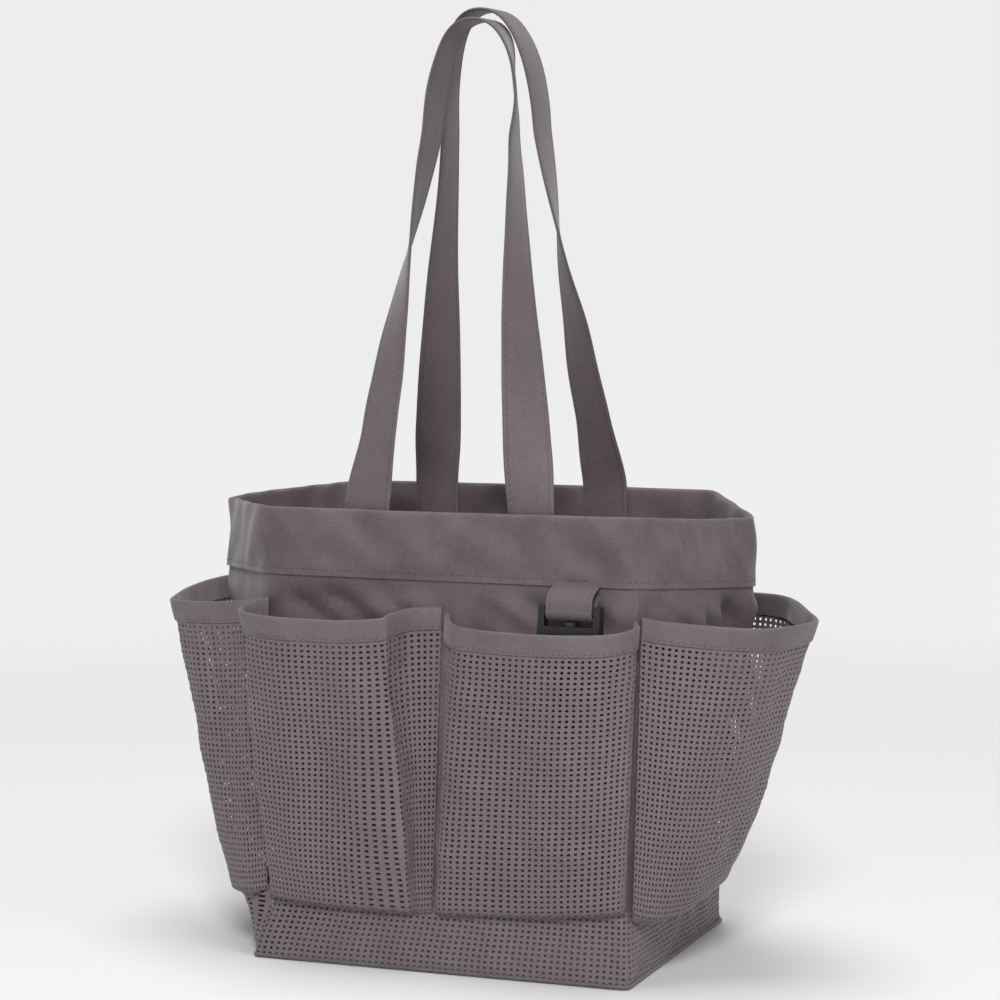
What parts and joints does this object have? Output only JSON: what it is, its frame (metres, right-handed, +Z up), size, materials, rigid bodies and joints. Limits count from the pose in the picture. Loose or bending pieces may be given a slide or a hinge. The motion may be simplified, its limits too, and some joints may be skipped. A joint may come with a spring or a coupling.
{
  "type": "shower caddy tote",
  "caption": "Free-standing fabric shower tote with a mesh base, mesh pockets all round, two webbing handles and a swivel snap hook.",
  "frame": {"origin": "centre of the base on the surface that the bag stands on", "axes": "+Z up, -Y front (the side with the snap hook), +X right seen from the front"},
  "size_m": [0.365, 0.1942, 0.4927],
  "materials": {
    "woven_fabric": "matt",
    "mesh_fabric": "matt",
    "binding_tape": "matt",
    "webbing": "matt",
    "black_plastic": "satin"
  },
  "bodies": {
    "bag": {"bottom_panel": "mesh_fabric", "base_band_front": "mesh_fabric", "base_band_right": "mesh_fabric", "base_band_back": "mesh_fabric", "base_band_left": "mesh_fabric", "wall_front": "woven_fabric", "wall_right": "woven_fabric", "wall_back": "woven_fabric", "wall_left": "woven_fabric", "top_cuff": "woven_fabric", "pocket_front_left": "mesh_fabric", "pocket_front_right": "mesh_fabric", "pocket_right": "mesh_fabric", "pocket_back_left": "mesh_fabric", "pocket_back_right": "mesh_fabric", "pocket_left": "mesh_fabric", "tape_front_left": "binding_tape", "tape_front_right": "binding_tape", "tape_right": "binding_tape", "tape_back_left": "binding_tape", "tape_back_right": "binding_tape", "tape_left": "binding_tape", "handle_front_ends": "webbing", "handle_back_ends": "webbing", "clip_tab": "woven_fabric"},
    "front_handle": {"handle_front": "webbing"},
    "back_handle": {"handle_back": "webbing"},
    "clip": {"clip_frame": "black_plastic"},
    "hook": {"hook_body": "black_plastic"},
    "gate": {"hook_gate": "black_plastic"}
  },
  "joints": [
    {"name": "front_handle_swing", "type": "hinge", "parent": "bag", "child": "front_handle", "pos_m": [0, -0.0599, 0.2368], "axis": [1, 0, 0], "range_deg": [0, 110]},
    {"name": "back_handle_swing", "type": "hinge", "parent": "bag", "child": "back_handle", "pos_m": [0, 0.0599, 0.2408], "axis": [-1, 0, 0], "range_deg": [0, 110]},
    {"name": "clip_swing", "type": "hinge", "parent": "bag", "child": "clip", "pos_m": [0.0695, -0.07479, 0.187], "axis": [-1, 0, 0], "range_deg": [0, 7]},
    {"name": "hook_swivel", "type": "hinge", "parent": "clip", "child": "hook", "pos_m": [0.0695, -0.07479, 0.187], "axis": [0, 0.0975, 0.9952], "continuous": true},
    {"name": "hook_gate", "type": "hinge", "parent": "hook", "child": "gate", "pos_m": [0.0758, -0.07816, 0.15257], "axis": [0, 0.9952, -0.0975], "range_deg": [0, 22], "stiffness_Nm_per_rad": 0.02, "springref_deg": -11.46}
  ]
}
